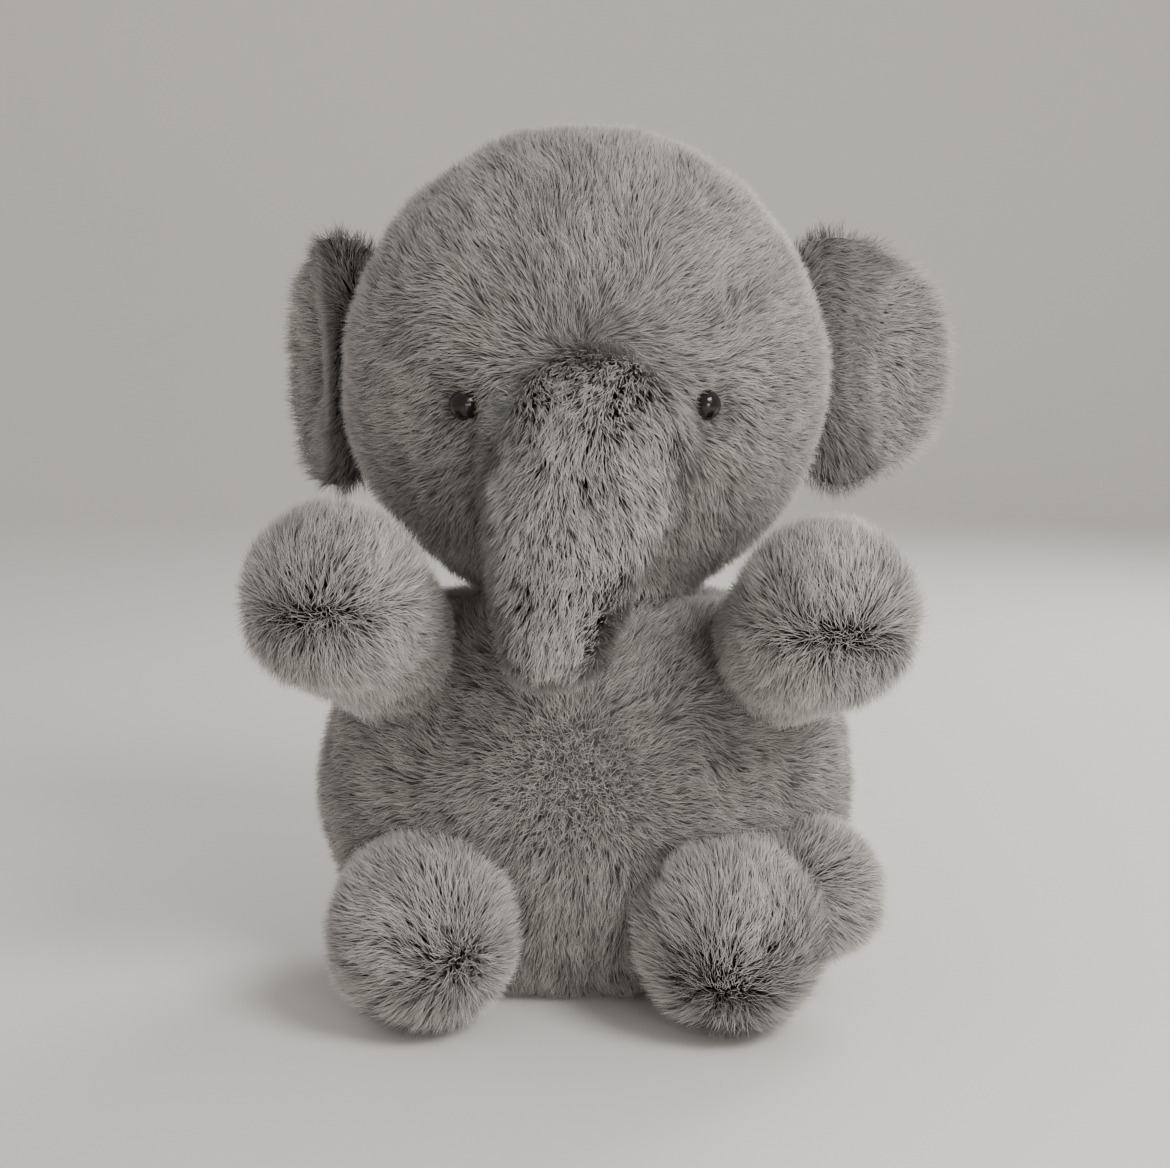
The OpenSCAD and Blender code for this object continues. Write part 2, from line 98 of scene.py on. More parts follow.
body_mid_h, body_rise = 0.075, 0.092
head_half_w, head_rise, head_drop = 0.091, 0.096, 0.085
body_low, body_high = box_of("body_front_left_panel", "body_front_right_panel",
                             "body_back_left_panel", "body_back_right_panel")
body_centre = np.array([0.0, middle(body_low, body_high)[1], body_mid_h])
body_axes = np.array([body_high[0], (body_high[1] - body_low[1]) / 2, body_rise])
_, head_high = box_of("face_left_panel", "face_right_panel",
                      "head_back_left_panel", "head_back_right_panel")
head_centre = np.array([0.0, 0.0, head_high[2] - head_rise])
head_axes = np.array([head_half_w, head_high[1], head_rise])
neck_centre = joint_at("neck_turn")
print("body", body_axes.round(3), "head", head_axes.round(3))

# %% [markdown]
# The formulas take arrays, so one call gives a whole grid of points. Each takes how far round
# (`u`), how far along (`v`) and the depth `k` below the tips of the pile.

# %% Formulas of the shapes
def egg(centre, axes, drop, lon, lat, k):
    lon, lat = np.radians(lon), np.radians(lat)
    rise = np.where(lat < 0, drop, axes[2]) - k
    return np.stack([centre[0] + (axes[0] - k) * np.cos(lat) * np.sin(lon),
                     centre[1] - (axes[1] - k) * np.cos(lat) * np.cos(lon),
                     centre[2] + rise * np.sin(lat)], axis=-1)


def unit(v):
    return v / np.maximum(np.linalg.norm(v, axis=-1, keepdims=True), 1e-9)


class Limb:
    """Two balls joined by a tube, from the root that is sewn on to the free end."""

    def __init__(self, root, end, root_r, end_r):
        self.root, self.end = np.array(root, float), np.array(end, float)
        self.root_r, self.end_r = root_r, end_r
        self.way = unit(self.end - self.root)
        self.side = unit(np.cross(self.way, [0.0, 0.0, 1.0]))
        self.rise = np.cross(self.side, self.way)

    def at(self, about, along, k):
        """Along runs from -90 at the root's pole, through 0 to 1 on the tube, to 91 at the end."""
        about, turn = np.radians(about), np.radians(np.where(along < 0, along, np.maximum(along - 1, 0)))
        share = np.clip(along, 0, 1)[..., None]
        middle_line = self.root + (self.end - self.root) * share
        r = (self.root_r + (self.end_r - self.root_r) * np.clip(along, 0, 1) - k)[..., None]
        ring = np.cos(about)[..., None] * self.side + np.sin(about)[..., None] * self.rise
        return middle_line + r * (np.sin(turn)[..., None] * self.way + np.cos(turn)[..., None] * ring)

    def depth(self, p):
        """How far points lie inside the limb; below zero is outside."""
        line = self.end - self.root
        share = np.clip(((p - self.root) @ line) / (line @ line), 0, 1)
        nearest = self.root + share[:, None] * line
        return self.root_r + (self.end_r - self.root_r) * share - np.linalg.norm(p - nearest, axis=1)


def egg_depth(p, centre, axes, drop):
    q = p - centre
    rise = np.where(q[:, 2] < 0, drop, axes[2])
    size = np.sqrt((q[:, 0] / axes[0]) ** 2 + (q[:, 1] / axes[1]) ** 2 + (q[:, 2] / rise) ** 2)
    return (1 - size) * min(axes)


# %% The limbs, from the joints they turn on
shoulder_r, paw_r = 0.023, 0.033
hip_r, foot_r = 0.031, 0.035
thigh_root_r, thigh_end_r = 0.024, 0.027
tail_root_r, tail_end_r = 0.009, 0.006
paw_from_shoulder = {"left": [-0.020, -0.060, 0.036], "right": [0.017, -0.060, 0.030]}
foot_from_hip = {"left": [0.002, -0.026, -0.002], "right": [-0.002, -0.026, -0.002]}
tail_tip_from_root = [0.0, 0.017, -0.026]
thigh_end = np.array([0.083, -0.044, 0.045])
thigh_root = thigh_end + [-0.006, 0.014, 0.0]
tail_root = joint_at("tail_lift")
limbs = {}
for side in ("left", "right"):
    shoulder, hip = joint_at(side + "_arm_swing"), joint_at(side + "_leg_lift")
    limbs[side + "_arm"] = Limb(shoulder, shoulder + paw_from_shoulder[side], shoulder_r, paw_r)
    limbs[side + "_leg"] = Limb(hip, hip + foot_from_hip[side], hip_r, foot_r)
limbs["right_thigh"] = Limb(thigh_root, thigh_end, thigh_root_r, thigh_end_r)
limbs["tail"] = Limb(tail_root, tail_root + tail_tip_from_root, tail_root_r, tail_end_r)
print("limbs:", ", ".join(limbs))

# %% [markdown]
# A panel of cloth is a grid of points a little under the tips of the pile, with a second grid
# behind it so that the cloth has a thickness. Near a seam the cloth dips, because the thread
# pulls it in, and that dip is what shows as a crease in the finished pile.

# %% Cloth under the pile
pile_h = 0.0052
cloth_t = 0.0007
seam_dip = 0.0012
seam_reach = 0.007
floor_gap = 0.0004
outward_probe = 0.001


def panel_grid(shape, us, vs, k=pile_h):
    """Points and outward normals of a grid over shape(u, v, k)."""
    u, v = np.meshgrid(us, vs)
    points = shape(u, v, np.full(u.shape, k))
    above = shape(u, v, np.full(u.shape, k - outward_probe))
    across = np.gradient(points, axis=1)
    along = np.gradient(points, axis=0)
    normals = unit(np.cross(across, along))
    outward = 1 if np.sum(normals * (above - points)) >= 0 else -1
    return points, normals * outward


def edge_distance(points):
    """Distance of each grid point from its two side seams, along the grid's rows."""
    step = np.linalg.norm(np.diff(points, axis=1), axis=-1)
    run = np.concatenate([np.zeros((len(points), 1)), np.cumsum(step, axis=1)], axis=1)
    return np.minimum(run, run[:, -1:] - run)


def dipped(points, normals):
    pull = np.clip(1 - edge_distance(points) / seam_reach, 0, 1) ** 2
    return points - normals * (seam_dip * pull)[..., None]


# %% [markdown]
# The colour of plush runs along each fibre: the dark root is painted shade deep in the pile, and
# the pale tip is a painted highlight where the brushed tip catches light. Neighbouring fibres differ
# a little too. Both facts are stored on the mesh, as how far along the fibre a point is and which
# tone the fibre has, and one node group turns them into colour. An object-space noise would be
# simpler, but it would swim through the fibres and not follow them.

# %% Node group that colours fibres
def new_group(name, inputs, outputs):
    group = bpy.data.node_groups.new(name, "ShaderNodeTree")
    for label, kind, value in inputs:
        socket = group.interface.new_socket(name=label, in_out="INPUT", socket_type=kind)
        socket.default_value = value
    for label, kind in outputs:
        group.interface.new_socket(name=label, in_out="OUTPUT", socket_type=kind)
    return group, group.nodes.new("NodeGroupInput"), group.nodes.new("NodeGroupOutput")


def add_node(tree, kind, **settings):
    node = tree.nodes.new(kind)
    for key, value in settings.items():
        setattr(node, key, value)
    return node


GREY = (0.2, 0.19, 0.18, 1.0)
pile_group, given, result = new_group(
    "pile_colour",
    [("Root", "NodeSocketColor", GREY), ("Middle", "NodeSocketColor", GREY),
     ("Tip", "NodeSocketColor", GREY), ("Spread", "NodeSocketFloat", 0.3)],
    [("Colour", "NodeSocketColor")])
along = add_node(pile_group, "ShaderNodeAttribute", attribute_name="strand_along")
tone = add_node(pile_group, "ShaderNodeAttribute", attribute_name="strand_tone")
low_half = add_node(pile_group, "ShaderNodeMapRange", interpolation_type="SMOOTHSTEP")
low_half.inputs["From Max"].default_value = 0.55
high_half = add_node(pile_group, "ShaderNodeMapRange", interpolation_type="SMOOTHSTEP")
high_half.inputs["From Min"].default_value = 0.4
lower = add_node(pile_group, "ShaderNodeMix", data_type="RGBA")
upper = add_node(pile_group, "ShaderNodeMix", data_type="RGBA")
spread = add_node(pile_group, "ShaderNodeMapRange")
darker = add_node(pile_group, "ShaderNodeMath", operation="SUBTRACT")
darker.inputs[0].default_value = 1.0
lighter = add_node(pile_group, "ShaderNodeMath", operation="ADD")
lighter.inputs[0].default_value = 1.0
shade = add_node(pile_group, "ShaderNodeVectorMath", operation="SCALE")
wire = pile_group.links.new
wire(along.outputs["Fac"], low_half.inputs["Value"])
wire(along.outputs["Fac"], high_half.inputs["Value"])
wire(low_half.outputs["Result"], lower.inputs["Factor"])
wire(given.outputs["Root"], lower.inputs["A"])
wire(given.outputs["Middle"], lower.inputs["B"])
wire(high_half.outputs["Result"], upper.inputs["Factor"])
wire(lower.outputs["Result"], upper.inputs["A"])
wire(given.outputs["Tip"], upper.inputs["B"])
wire(given.outputs["Spread"], darker.inputs[1])
wire(given.outputs["Spread"], lighter.inputs[1])
wire(tone.outputs["Fac"], spread.inputs["Value"])
wire(darker.outputs["Value"], spread.inputs["To Min"])
wire(lighter.outputs["Value"], spread.inputs["To Max"])
wire(upper.outputs["Result"], shade.inputs[0])
wire(spread.outputs["Result"], shade.inputs["Scale"])
wire(shade.outputs["Vector"], result.inputs["Colour"])
print("group", pile_group.name, "has", len(pile_group.nodes), "nodes")


# %% Plush materials
def plush(name, root, mid, tip, spread_by):
    """Plush of three colours along each fibre, from a root of painted shade through its own middle colour to a tip
    of painted highlight, with a soft sheen and no gloss.
    """
    material = bpy.data.materials.new(name)
    material.use_nodes = True
    tree = material.node_tree
    shader = tree.nodes["Principled BSDF"]
    group = add_node(tree, "ShaderNodeGroup", node_tree=pile_group)
    for label, colour in (("Root", root), ("Middle", mid), ("Tip", tip)):
        group.inputs[label].default_value = (*colour, 1.0)
    group.inputs["Spread"].default_value = spread_by
    tree.links.new(group.outputs["Colour"], shader.inputs["Base Color"])
    shader.inputs["Roughness"].default_value = 0.62
    shader.inputs["Specular IOR Level"].default_value = 0.22
    shader.inputs["Sheen Weight"].default_value = 0.35
    shader.inputs["Sheen Roughness"].default_value = 0.5
    material.diffuse_color = (*mid, 1.0)
    return material


# The root colours are painted shade deep in the pile, and the tip colours are painted highlights.
grey_plush = plush("grey_plush", (0.038, 0.033, 0.030), (0.170, 0.156, 0.143),
                   (0.50, 0.470, 0.435), 0.50)
pale_plush = plush("pale_plush", (0.075, 0.067, 0.061), (0.240, 0.222, 0.205),
                   (0.64, 0.608, 0.568), 0.46)
print("plush:", grey_plush.name, pale_plush.name)

# %% [markdown]
# Brushed pile is never even. The fibres lean over, turn with the brushing, gather in small
# tufts, and part or swirl where the cloth was handled. So each panel gets a flow, the way its
# fibres lie, and a slow random wander is added on top of it. The wander is a sum of a few
# waves with fixed phases, which gives the same pile each time.

# %% Slow wander and patches
waves = np.random.default_rng(11)
wave_ways = unit(waves.normal(size=(10, 3))) * waves.uniform(60, 260, size=(10, 1))
wave_phases = waves.uniform(0, 2 * math.pi, size=10)


def wander(points, first=0, count=5):
    """A smooth value near -1 to 1 at each point."""
    total = sum(np.sin(points @ wave_ways[i] + wave_phases[i]) for i in range(first, first + count))
    return total / math.sqrt(count)


# %% Fibres on a grid of cloth
fibre_w = 0.00025
fibre_sink = 0.0006
way_jitter, lean_jitter = 0.34, 9
root_bend, bend_step = -20, 28
tuft_cell = 0.0023
tuft_wobble = 0.0013
tone_jitter, tuft_contrast = 0.17, 0.30
tone_limits = (0.02, 0.98)
# The cloth takes the colour a quarter of the way up a fibre, so it shares the painted shade of the roots.
cloth_along = 0.26
shares = np.array([0.0, 0.52, 1.0])
widths = np.array([1.0, 0.80])


def scatter(points, normals, count, rng):
    """Random roots on a grid, even by area, with their normals."""
    a, b, c, d = points[:-1, :-1], points[:-1, 1:], points[1:, 1:], points[1:, :-1]
    na, nb, nc, nd = normals[:-1, :-1], normals[:-1, 1:], normals[1:, 1:], normals[1:, :-1]
    area = np.linalg.norm(np.cross(c - a, d - b), axis=-1).ravel()
    cell = rng.choice(len(area), size=count, p=area / area.sum())
    s, t = rng.random((2, count, 1))

    def mix(w, x, y, z):
        w, x, y, z = (g.reshape(-1, 3)[cell] for g in (w, x, y, z))
        return (w * (1 - s) + x * s) * (1 - t) + (z * (1 - s) + y * s) * t

    return mix(a, b, c, d), unit(mix(na, nb, nc, nd))


def turned(v, axis, angle):
    """Vectors turned about unit axes that they are square to."""
    return v * np.cos(angle)[:, None] + np.cross(axis, v) * np.sin(angle)[:, None]


def fibres(roots, normals, flow, length, lean, rng, tuft):
    """Points of bent ribbons, tone of each, and shading normals: arrays by fibre and by level."""
    count = len(roots)
    way = flow - np.sum(flow * normals, axis=1, keepdims=True) * normals
    way = unit(way + 1e-6)
    angle = 0.40 * wander(roots) + 0.30 * wander(roots * 3.1, 5) + rng.normal(0, way_jitter, count)
    way = turned(way, normals, angle)
    lean = np.radians(lean + 7 * wander(roots * 2.3, 3) + rng.normal(0, lean_jitter, count))
    length = length * (0.82 + 0.32 * rng.random(count)) * (1 + 0.07 * wander(roots * 1.7, 2))
    spine = [roots - normals * fibre_sink]
    for step in range(2):
        bend = lean + math.radians(root_bend + bend_step * step)
        heading = np.cos(bend)[:, None] * normals + np.sin(bend)[:, None] * way
        spine.append(spine[-1] + heading * (length * (shares[step + 1] - shares[step]))[:, None])
    spine = np.stack(spine, axis=1)
    cells = np.floor((roots + tuft_wobble * wander(roots * 5, 1)[:, None]) / tuft_cell).astype(np.int64)
    key = (cells[:, 0] * 73856093) ^ (cells[:, 1] * 19349663) ^ (cells[:, 2] * 83492791)
    _, member = np.unique(key, return_inverse=True)
    sums = np.zeros((member.max() + 1, 3))
    np.add.at(sums, member, spine[:, 2])
    tuft_tip = sums[member] / np.bincount(member)[member][:, None]
    pull = (tuft * shares ** 1.6)[None, :, None]
    spine += pull * (tuft_tip - spine[:, 2])[:, None, :]
    spine[..., 2] = np.maximum(spine[..., 2], floor_gap)
    tufts = rng.random(member.max() + 1)[member]
    tone = 0.5 + tone_jitter * rng.normal(size=count) + tuft_contrast * (tufts - 0.5)
    tone = tone + 0.09 * wander(roots * 1.3, 4)
    heading = unit(spine[:, 2] - spine[:, 0])
    across = unit(np.cross(heading, normals))
    across = unit(across + 0.25 * rng.normal(size=(count, 1)) * normals)
    width = fibre_w * (0.8 + 0.4 * rng.random(count))
    facing = unit(normals - 0.8 * np.sum(normals * heading, axis=1, keepdims=True) * heading)
    return spine, across * width[:, None], np.clip(tone, *tone_limits), unit(0.7 * facing + normals)


# %% [markdown]
# One mesh holds a panel's cloth and its fibres. Arrays fill it directly, because making tens
# of thousands of ribbons one by one would take minutes. Each ribbon is a four-sided face and
# a pointed one. Its map lays the length of the fibre up the sheet and its tone across it, so the same
# small sheet of colour serves every fibre.

# %% Mesh of cloth and fibres
points_in_fibre = 5
map_edge, map_span, map_half_w = 0.01, 0.98, 0.003


def cloth_faces(rows, cols, start):
    r, c = np.meshgrid(np.arange(rows - 1), np.arange(cols - 1), indexing="ij")
    a = (start + r * cols + c).ravel()
    return np.stack([a, a + 1, a + cols + 1, a + cols], axis=1)


def rim_faces(rows, cols, start, back):
    edge = np.concatenate([np.arange(cols), np.arange(1, rows) * cols + cols - 1,
                           (rows - 1) * cols + np.arange(cols - 2, -1, -1),
                           np.arange(rows - 2, -1, -1) * cols])
    a, b = start + edge[:-1], start + edge[1:]
    return np.stack([b, a, a + back, b + back], axis=1)


def raw_mesh(name, verts, quads, tris):
    """A mesh filled from arrays, and the vertex at each corner of its faces."""
    corners = np.concatenate([quads.ravel(), tris.ravel()]).astype(np.int32)
    starts = np.concatenate([np.arange(len(quads)) * 4, len(quads) * 4 + np.arange(len(tris)) * 3])
    mesh = bpy.data.meshes.new(name)
    mesh.vertices.add(len(verts))
    mesh.vertices.foreach_set("co", verts.astype(np.float32).ravel())
    mesh.loops.add(len(corners))
    mesh.loops.foreach_set("vertex_index", corners)
    mesh.polygons.add(len(starts))
    mesh.polygons.foreach_set("loop_start", starts.astype(np.int32))
    return mesh, corners


def build_pile(name, cloths, pile, material):
    """A mesh object of cloth grids, each (points, normals), and fibres, each from fibres()."""
    verts, norms, alongs, tones, quads, tris, maps = [], [], [], [], [], [], []
    total = 0
    for points, normals in cloths:
        rows, cols = points.shape[:2]
        n = rows * cols
        flat, out = points.reshape(-1, 3), normals.reshape(-1, 3)
        back = flat - out * cloth_t
        back[:, 2] = np.maximum(back[:, 2], floor_gap)
        verts += [flat, back]
        norms += [out, -out]
        alongs.append(np.full(2 * n, cloth_along))
        tones.append(np.full(2 * n, 0.5))
        r, c = np.divmod(np.arange(n), cols)
        spot = np.stack([0.5 + 2 * map_half_w * (c % 2),
                         map_edge + map_span * cloth_along + 2 * map_half_w * (r % 2)], axis=1)
        maps += [spot, spot]
        front = cloth_faces(rows, cols, total)
        quads += [front, cloth_faces(rows, cols, total + n)[:, ::-1], rim_faces(rows, cols, total, n)]
        total += 2 * n
    for spine, across, tone, facing in pile:
        n = len(spine)
        ribbon = [spine[:, i] + sign * 0.5 * across * widths[i] for i in range(2) for sign in (-1, 1)]
        verts.append(np.stack(ribbon + [spine[:, 2]], axis=1).reshape(-1, 3))
        norms.append(np.repeat(facing, points_in_fibre, axis=0))
        level = np.tile(shares[[0, 0, 1, 1, 2]], n)
        alongs.append(level)
        tone = np.repeat(tone, points_in_fibre)
        tones.append(tone)
        offset = np.tile([-map_half_w, map_half_w, -map_half_w, map_half_w, 0.0], n)
        maps.append(np.stack([map_edge + map_span * tone + offset, map_edge + map_span * level], axis=1))
        first = total + points_in_fibre * np.arange(n)[:, None]
        quads.append(first + [0, 1, 3, 2])
        tris.append(first + [2, 3, 4])
        total += points_in_fibre * n
    verts, norms, maps = (np.concatenate(x) for x in (verts, norms, maps))
    quads = np.concatenate(quads)
    mesh, corners = raw_mesh(name, verts, quads, np.concatenate(tris))
    for label, values in (("strand_along", alongs), ("strand_tone", tones)):
        layer = mesh.attributes.new(label, "FLOAT", "POINT")
        layer.data.foreach_set("value", np.concatenate(values).astype(np.float32))
    sheet_map = mesh.uv_layers.new(name="OFBake")
    sheet_map.data.foreach_set("uv", maps[corners].astype(np.float32).ravel())
    mesh.update(calc_edges=True)
    mesh.shade_smooth()
    mesh.normals_split_custom_set_from_vertices(norms.tolist())
    mesh.materials.append(material)
    piece = bpy.data.objects.new(name, mesh)
    bpy.context.collection.objects.link(piece)
    return piece


# %% [markdown]
# Cloth that would lie inside another stuffed piece carries no fibres there, or they would
# poke out of it. The shapes can say how deep a point lies in each of them, so roots that are
# buried are dropped before any ribbon is made.

# %% Buried roots
def trunk_depth(p):
    return trunk_root_r - np.linalg.norm(p - trunk_root, axis=1)


def head_depth(p):
    return egg_depth(p, head_centre, head_axes, head_drop)


def body_depth(p):
    return egg_depth(p, body_centre, body_axes, body_axes[2])


trunk_root = joint_at("trunk_lift")
trunk_root_r = 0.035
trunk_raise = 0.0030
depth_in = {"head": head_depth, "body": body_depth, "trunk": trunk_depth,
            **{name: limb.depth for name, limb in limbs.items()}}
usual_hidden_depth = 0.0075
hidden_depth = {"trunk": trunk_raise}


def showing(points, others):
    keep = np.ones(len(points), bool)
    for other in others:
        keep &= depth_in[other](points) < hidden_depth.get(other, usual_hidden_depth)
    return keep


# %% One sewn panel, from cloth to fibres
per_square_metre = 1.9e6
made = []


def ease(x, low, high):
    t = np.clip((x - low) / (high - low), 0, 1)
    return t * t * (3 - 2 * t)


def sew(name, node, body, material, cloths, flow, length, lean, hidden_in=(), tuft=0.25,
        density=1.0, shade=None):
    """Makes a panel of plush, gives it its body and slot, and hides the CAD nodes it stands for."""
    rng = np.random.default_rng(len(made) + 100)
    pile, laid = [], []
    for points, normals in cloths:
        laid.append((dipped(points, normals), normals))
        cell = np.linalg.norm(np.cross(points[1:, 1:] - points[:-1, :-1],
                                       points[1:, :-1] - points[:-1, 1:]), axis=-1) / 2
        count = int(cell.sum() * per_square_metre * density)
        roots, out = scatter(*laid[-1], count, rng)
        keep = showing(roots, hidden_in)
        roots, out = roots[keep], out[keep]
        spine, across, tone, facing = fibres(roots, out, flow(roots), length(roots), lean(roots),
                                             rng, tuft)
        # shade adds painted shade and painted highlights to the tone of the fibres.
        if shade:
            tone = np.clip(tone + shade(roots), *tone_limits)
        pile.append((spine, across, tone, facing))
    piece = build_pile(name, laid, pile, material)
    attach(piece, body)
    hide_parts(*([node] if isinstance(node, str) else node))
    made.append((name, sum(len(p[0]) for p in pile)))
    print(f"{name}: {made[-1][1]} fibres, {len(piece.data.polygons)} faces")


def even(value):
    return lambda p: np.full(len(p), value)


def every_way(p):
    """One random way for each fibre, the same on each run."""
    return unit(np.random.default_rng(len(p)).normal(size=(len(p), 3)))


def away(source, loose=0.011):
    """Flow that fans out from a whorl, where the fibres cross every way and hide its middle."""
    def flow(p):
        fan = p - np.array(source)
        near = np.exp(-((np.linalg.norm(fan, axis=1) / loose) ** 2))[:, None]
        return unit(unit(fan) * (1 - 0.85 * near) + every_way(p) * near)
    return flow


def stepped(start, stop, width=2.2):
    return np.linspace(start, stop, max(3, int(abs(stop - start) / width) + 1))


# %% [markdown]
# The head is four big panels round a dome, with a strip under the chin and one at the nape.
# The pile fans up over the forehead from the top of the trunk, sweeps back round the cheeks,
# and falls at the back. Round the eyes it is clipped short, and it leans away from them.

# %% Head
side_seam = 84
cheek_lat, collar_lat, crown_lat = -34, -57, 89.3
collar_turn, collar_r, collar_h = 12, 0.040, 0.0085
head_pile = 0.0094
fan_top = np.array([0.0, head_centre[1] - head_axes[1], head_centre[2] + 0.012])
eye_spots = [middle(*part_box(side + "_eye")) for side in ("left", "right")]


def head_shape(u, v, k):
    return egg(head_centre, head_axes, head_drop, u, v, k)


def from_eyes(p):
    return np.min([np.linalg.norm(p - spot, axis=1) for spot in eye_spots], axis=0)


def head_flow(p):
    fan = unit(p - fan_top)
    back = ease(p[:, 1], -0.01, 0.04)[:, None]
    low = (0.7 * ease(p[:, 2], head_centre[2] - 0.01, head_centre[2] - 0.07))[:, None]
    down = np.array([0.0, 0.0, -1.0])
    backwards = np.array([0.0, 0.6, -0.8])
    flow = fan * (1 - back) + backwards * back + down * low
    for spot in eye_spots:
        near = np.exp(-((np.linalg.norm(p - spot, axis=1) / 0.009) ** 2))[:, None]
        flow = flow + 0.5 * near * unit(p - spot)
    return flow


def head_length(p):
    clipped = 1 - 0.55 * np.exp(-((from_eyes(p) / 0.0090) ** 2))
    return head_pile * clipped


# Painted shade: the pile is darkened round the eyes, where they sit low in the clipped pile, and where the
# forehead meets the top of the trunk.
def head_painted_shade(p):
    trunk_near = np.linalg.norm(p - trunk_root, axis=1) - trunk_root_r
    return -0.34 * np.exp(-((from_eyes(p) / 0.0085) ** 2)) - 0.12 * np.exp(-((trunk_near / 0.006) ** 2))


def head_lean(p):
    return 50 + 8 * ease(p[:, 1], 0.0, 0.05)


for label, start, stop in (("face_left", -side_seam, 0), ("face_right", 0, side_seam),
                           ("head_back_left", -180, -side_seam), ("head_back_right", side_seam, 180)):
    cloth = panel_grid(head_shape, stepped(start, stop), stepped(cheek_lat, crown_lat))
    sew(label + "_pile", label + "_panel", "head", grey_plush, [cloth], head_flow,
        head_length, head_lean, hidden_in=["trunk"], shade=head_painted_shade)


def under_head(u, v, k):
    """Below the collar the cloth turns in to the neck."""
    turn = np.clip((collar_lat - v) / collar_turn, 0, 1)[..., None]
    edge = egg(head_centre, head_axes, head_drop, u, np.maximum(v, collar_lat), k)
    inner = neck_centre + np.stack([collar_r * np.sin(np.radians(u)), -collar_r * np.cos(np.radians(u)),
                                    np.full(u.shape, collar_h)], axis=-1)
    return edge * (1 - turn) + inner * turn


for label, start, stop in (("chin", -side_seam, side_seam), ("nape", side_seam, 360 - side_seam)):
    cloth = panel_grid(under_head, stepped(start, stop, 3),
                       stepped(collar_lat - collar_turn, cheek_lat, 2))
    sew(label + "_pile", label + "_panel", "head", grey_plush, [cloth], head_flow,
        even(head_pile), even(52))

# %% [markdown]
# The trunk is one fat tapering tube on a round root. Its pile runs down it and out to the
# sides. It is sewn from a front panel and a back one that wraps further round, and one of
# their seams makes the ridge down one side. A few stitches draw in a fold at the tip. Near the
# root the cloth is raised, so that no bare ring shows where it leaves the face.

# %% Trunk
trunk_tip_r, trunk_back_r, trunk_drop = 0.020, 0.019, 0.064
trunk_reach = np.array([-0.012, -0.023, 0.0])


def trunk_shape(u, v, k):
    """Along runs from -90 at the top of the root, by 0 to 1 down the trunk, and on round the tip."""
    k = k - trunk_raise * (1 - ease(v, 0.15, 0.55))
    t = np.clip(v, 0, 1)
    turn = np.radians(np.where(v < 0, v, np.maximum(v - 1, 0)))
    wide = trunk_root_r + (trunk_tip_r - trunk_root_r) * t ** 1.35 - k
    deep = trunk_root_r + (trunk_back_r - trunk_root_r) * np.sin(np.pi / 2 * np.minimum(1, 1.6 * t)) - k
    forward = np.sin(np.pi / 2 * np.minimum(1, 1.25 * t))
    fall = np.where(v < 0, -(trunk_root_r - k) * np.sin(turn), -(trunk_tip_r - k) * 0.9 * np.sin(turn))
    about = np.radians(u)
    around = np.sign(np.sin(about)) * np.abs(np.sin(about)) ** 0.85
    return trunk_root + np.stack([
        trunk_reach[0] * t + wide * np.cos(turn) * around,
        trunk_reach[1] * forward - deep * np.cos(turn) * np.cos(about),
        -trunk_drop * t + fall], axis=-1)


def trunk_flow(p):
    above_root = trunk_root + np.array([0.0, 0.012, 0.036])
    out = (p - above_root) * [1.1, 0.9, 0.0]
    down = np.array([0.0, 0.0, -0.042])
    return out + down + 0.25 * (p - trunk_root) * [0, 1, 0]


def nostril(points, normals):
    """The fold at the middle of the tip, drawn in by a few stitches."""
    tip = trunk_root + trunk_reach - np.array([0.0, trunk_back_r * 0.55, trunk_drop + trunk_tip_r * 0.75])
    off = np.abs(points[..., 0] - tip[0])
    near = np.exp(-((off / 0.006) ** 2) - (np.linalg.norm(points - tip, axis=-1) / 0.014) ** 2)
    return points - normals * (0.005 * near)[..., None], normals


def trunk_lean(p):
    return 51 + 14 * ease(p[:, 2], trunk_root[2] + 0.006, trunk_root[2] + 0.024)


# Painted highlight: the pile over the top of the trunk is made lighter.
def trunk_painted_highlight(p):
    return 0.10 * ease(p[:, 2], trunk_root[2] + 0.004, trunk_root[2] + 0.024)


ridge = 76
trunk_lines = np.concatenate([np.linspace(-88, -8, 14), np.linspace(0, 1, 30), np.linspace(10, 88, 12)])
for label, start, stop in (("front", -62, ridge), ("back", ridge, 298)):
    cloth = panel_grid(trunk_shape, stepped(start, stop, 5), trunk_lines)
    cloth = nostril(*cloth)
    sew("trunk_" + label + "_pile", "trunk_" + label + "_panel", "trunk", pale_plush,
        [cloth], trunk_flow, even(0.0098), trunk_lean, shade=trunk_painted_highlight)

# %% [markdown]
# Each ear is a half-round pad whose straight root is sewn to the side of the head. The front
# is cupped a little and folded once, and the pile is longest round the rim, which gives the
# ear its halo. The cloth starts a little inside the head, so that no gap shows at the root.

# %% Ears
ear_w, ear_h, ear_t = 0.062, 0.104, 0.013
ear_root_r = ear_t / 2
ear_tuck = 0.004
ear_cup = 0.006
ear_fold_at, ear_fold_w, ear_fold_depth = 0.42, 0.07, 0.9
ear_cloth_depth = 0.0036
ear_sweeps = {"left": 70, "right": 40}


